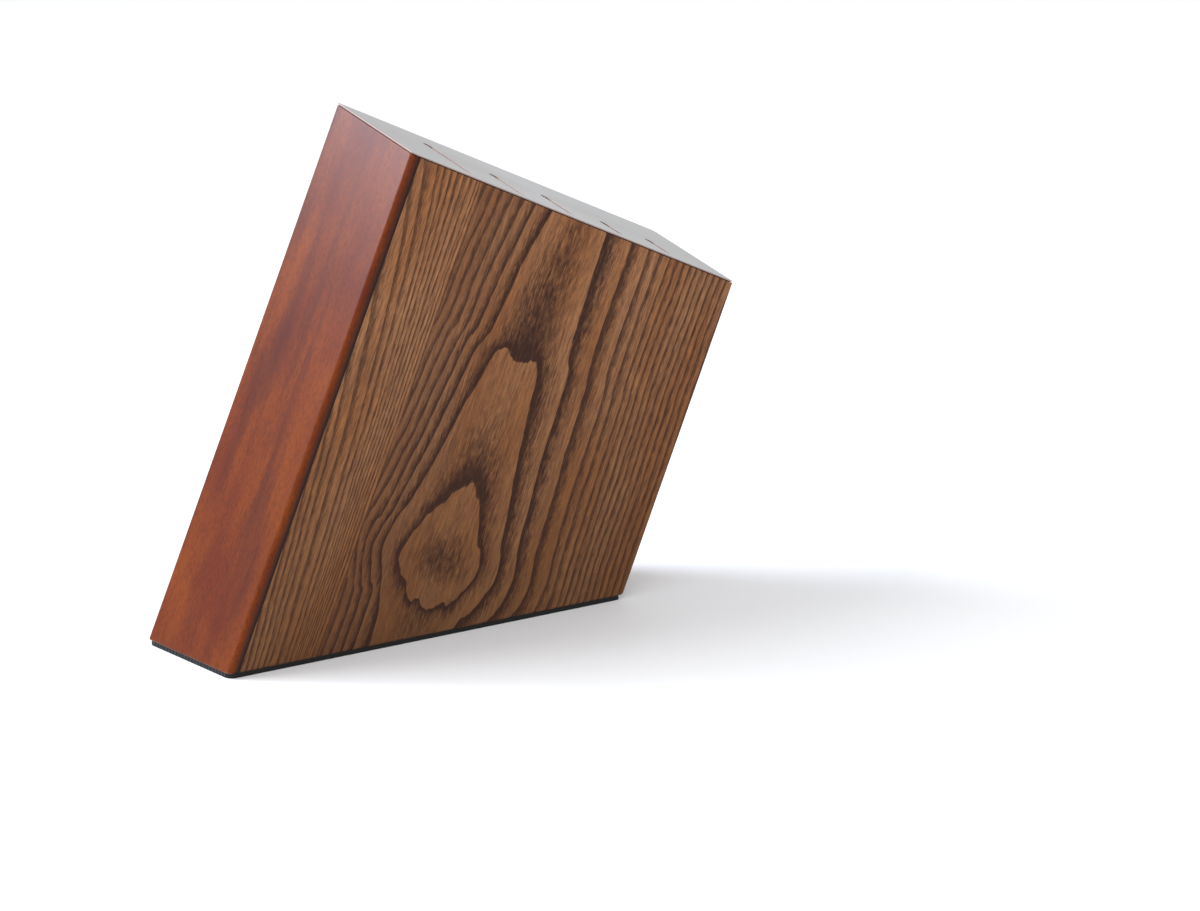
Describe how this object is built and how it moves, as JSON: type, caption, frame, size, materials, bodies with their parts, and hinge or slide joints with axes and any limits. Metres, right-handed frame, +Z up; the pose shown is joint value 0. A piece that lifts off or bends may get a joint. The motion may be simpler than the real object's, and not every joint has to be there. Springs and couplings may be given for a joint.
{
  "type": "knife block",
  "caption": "Slanted laminated wooden block with narrow channels for kitchen knives, under a thin slotted metal top plate.",
  "frame": {"origin": "on the table plane, under the middle of the block's bounding box", "axes": "+Z up; +X along the block's length, from the front rail's foot towards the rear, the way the block leans; +Y across its thickness, away from the side that the knife edges lie towards"},
  "size_m": [0.3286, 0.08, 0.2719],
  "materials": {
    "rail_wood": "oiled cherry, satin",
    "panel_wood": "smoked ash, oiled, satin",
    "core_wood": "planed beech, steamed",
    "dowel_wood": "turned beech",
    "plate_metal": "fine satin",
    "film": "black adhesive foam film",
    "pad_rubber": "matt, fine grained",
    "screw_steel": "zinc plated"
  },
  "bodies": {
    "root": {"front_rail": "rail_wood", "rear_rail": "panel_wood", "near_panel": "panel_wood", "far_panel": "panel_wood", "near_stave": "panel_wood", "far_stave": "panel_wood", "core_board_1": "core_wood", "core_board_2": "core_wood", "core_board_3": "core_wood", "core_board_4": "core_wood", "core_board_5": "core_wood", "core_board_6": "core_wood", "slot_strip_1": "core_wood", "slot_strip_2": "core_wood", "slot_strip_3": "core_wood", "slot_strip_4": "core_wood", "slot_strip_5": "core_wood", "base_board": "core_wood", "top_plate": "plate_metal", "plate_film": "film", "base_pad": "pad_rubber", "core_dowels": "dowel_wood", "base_screws": "screw_steel"}
  },
  "joints": []
}
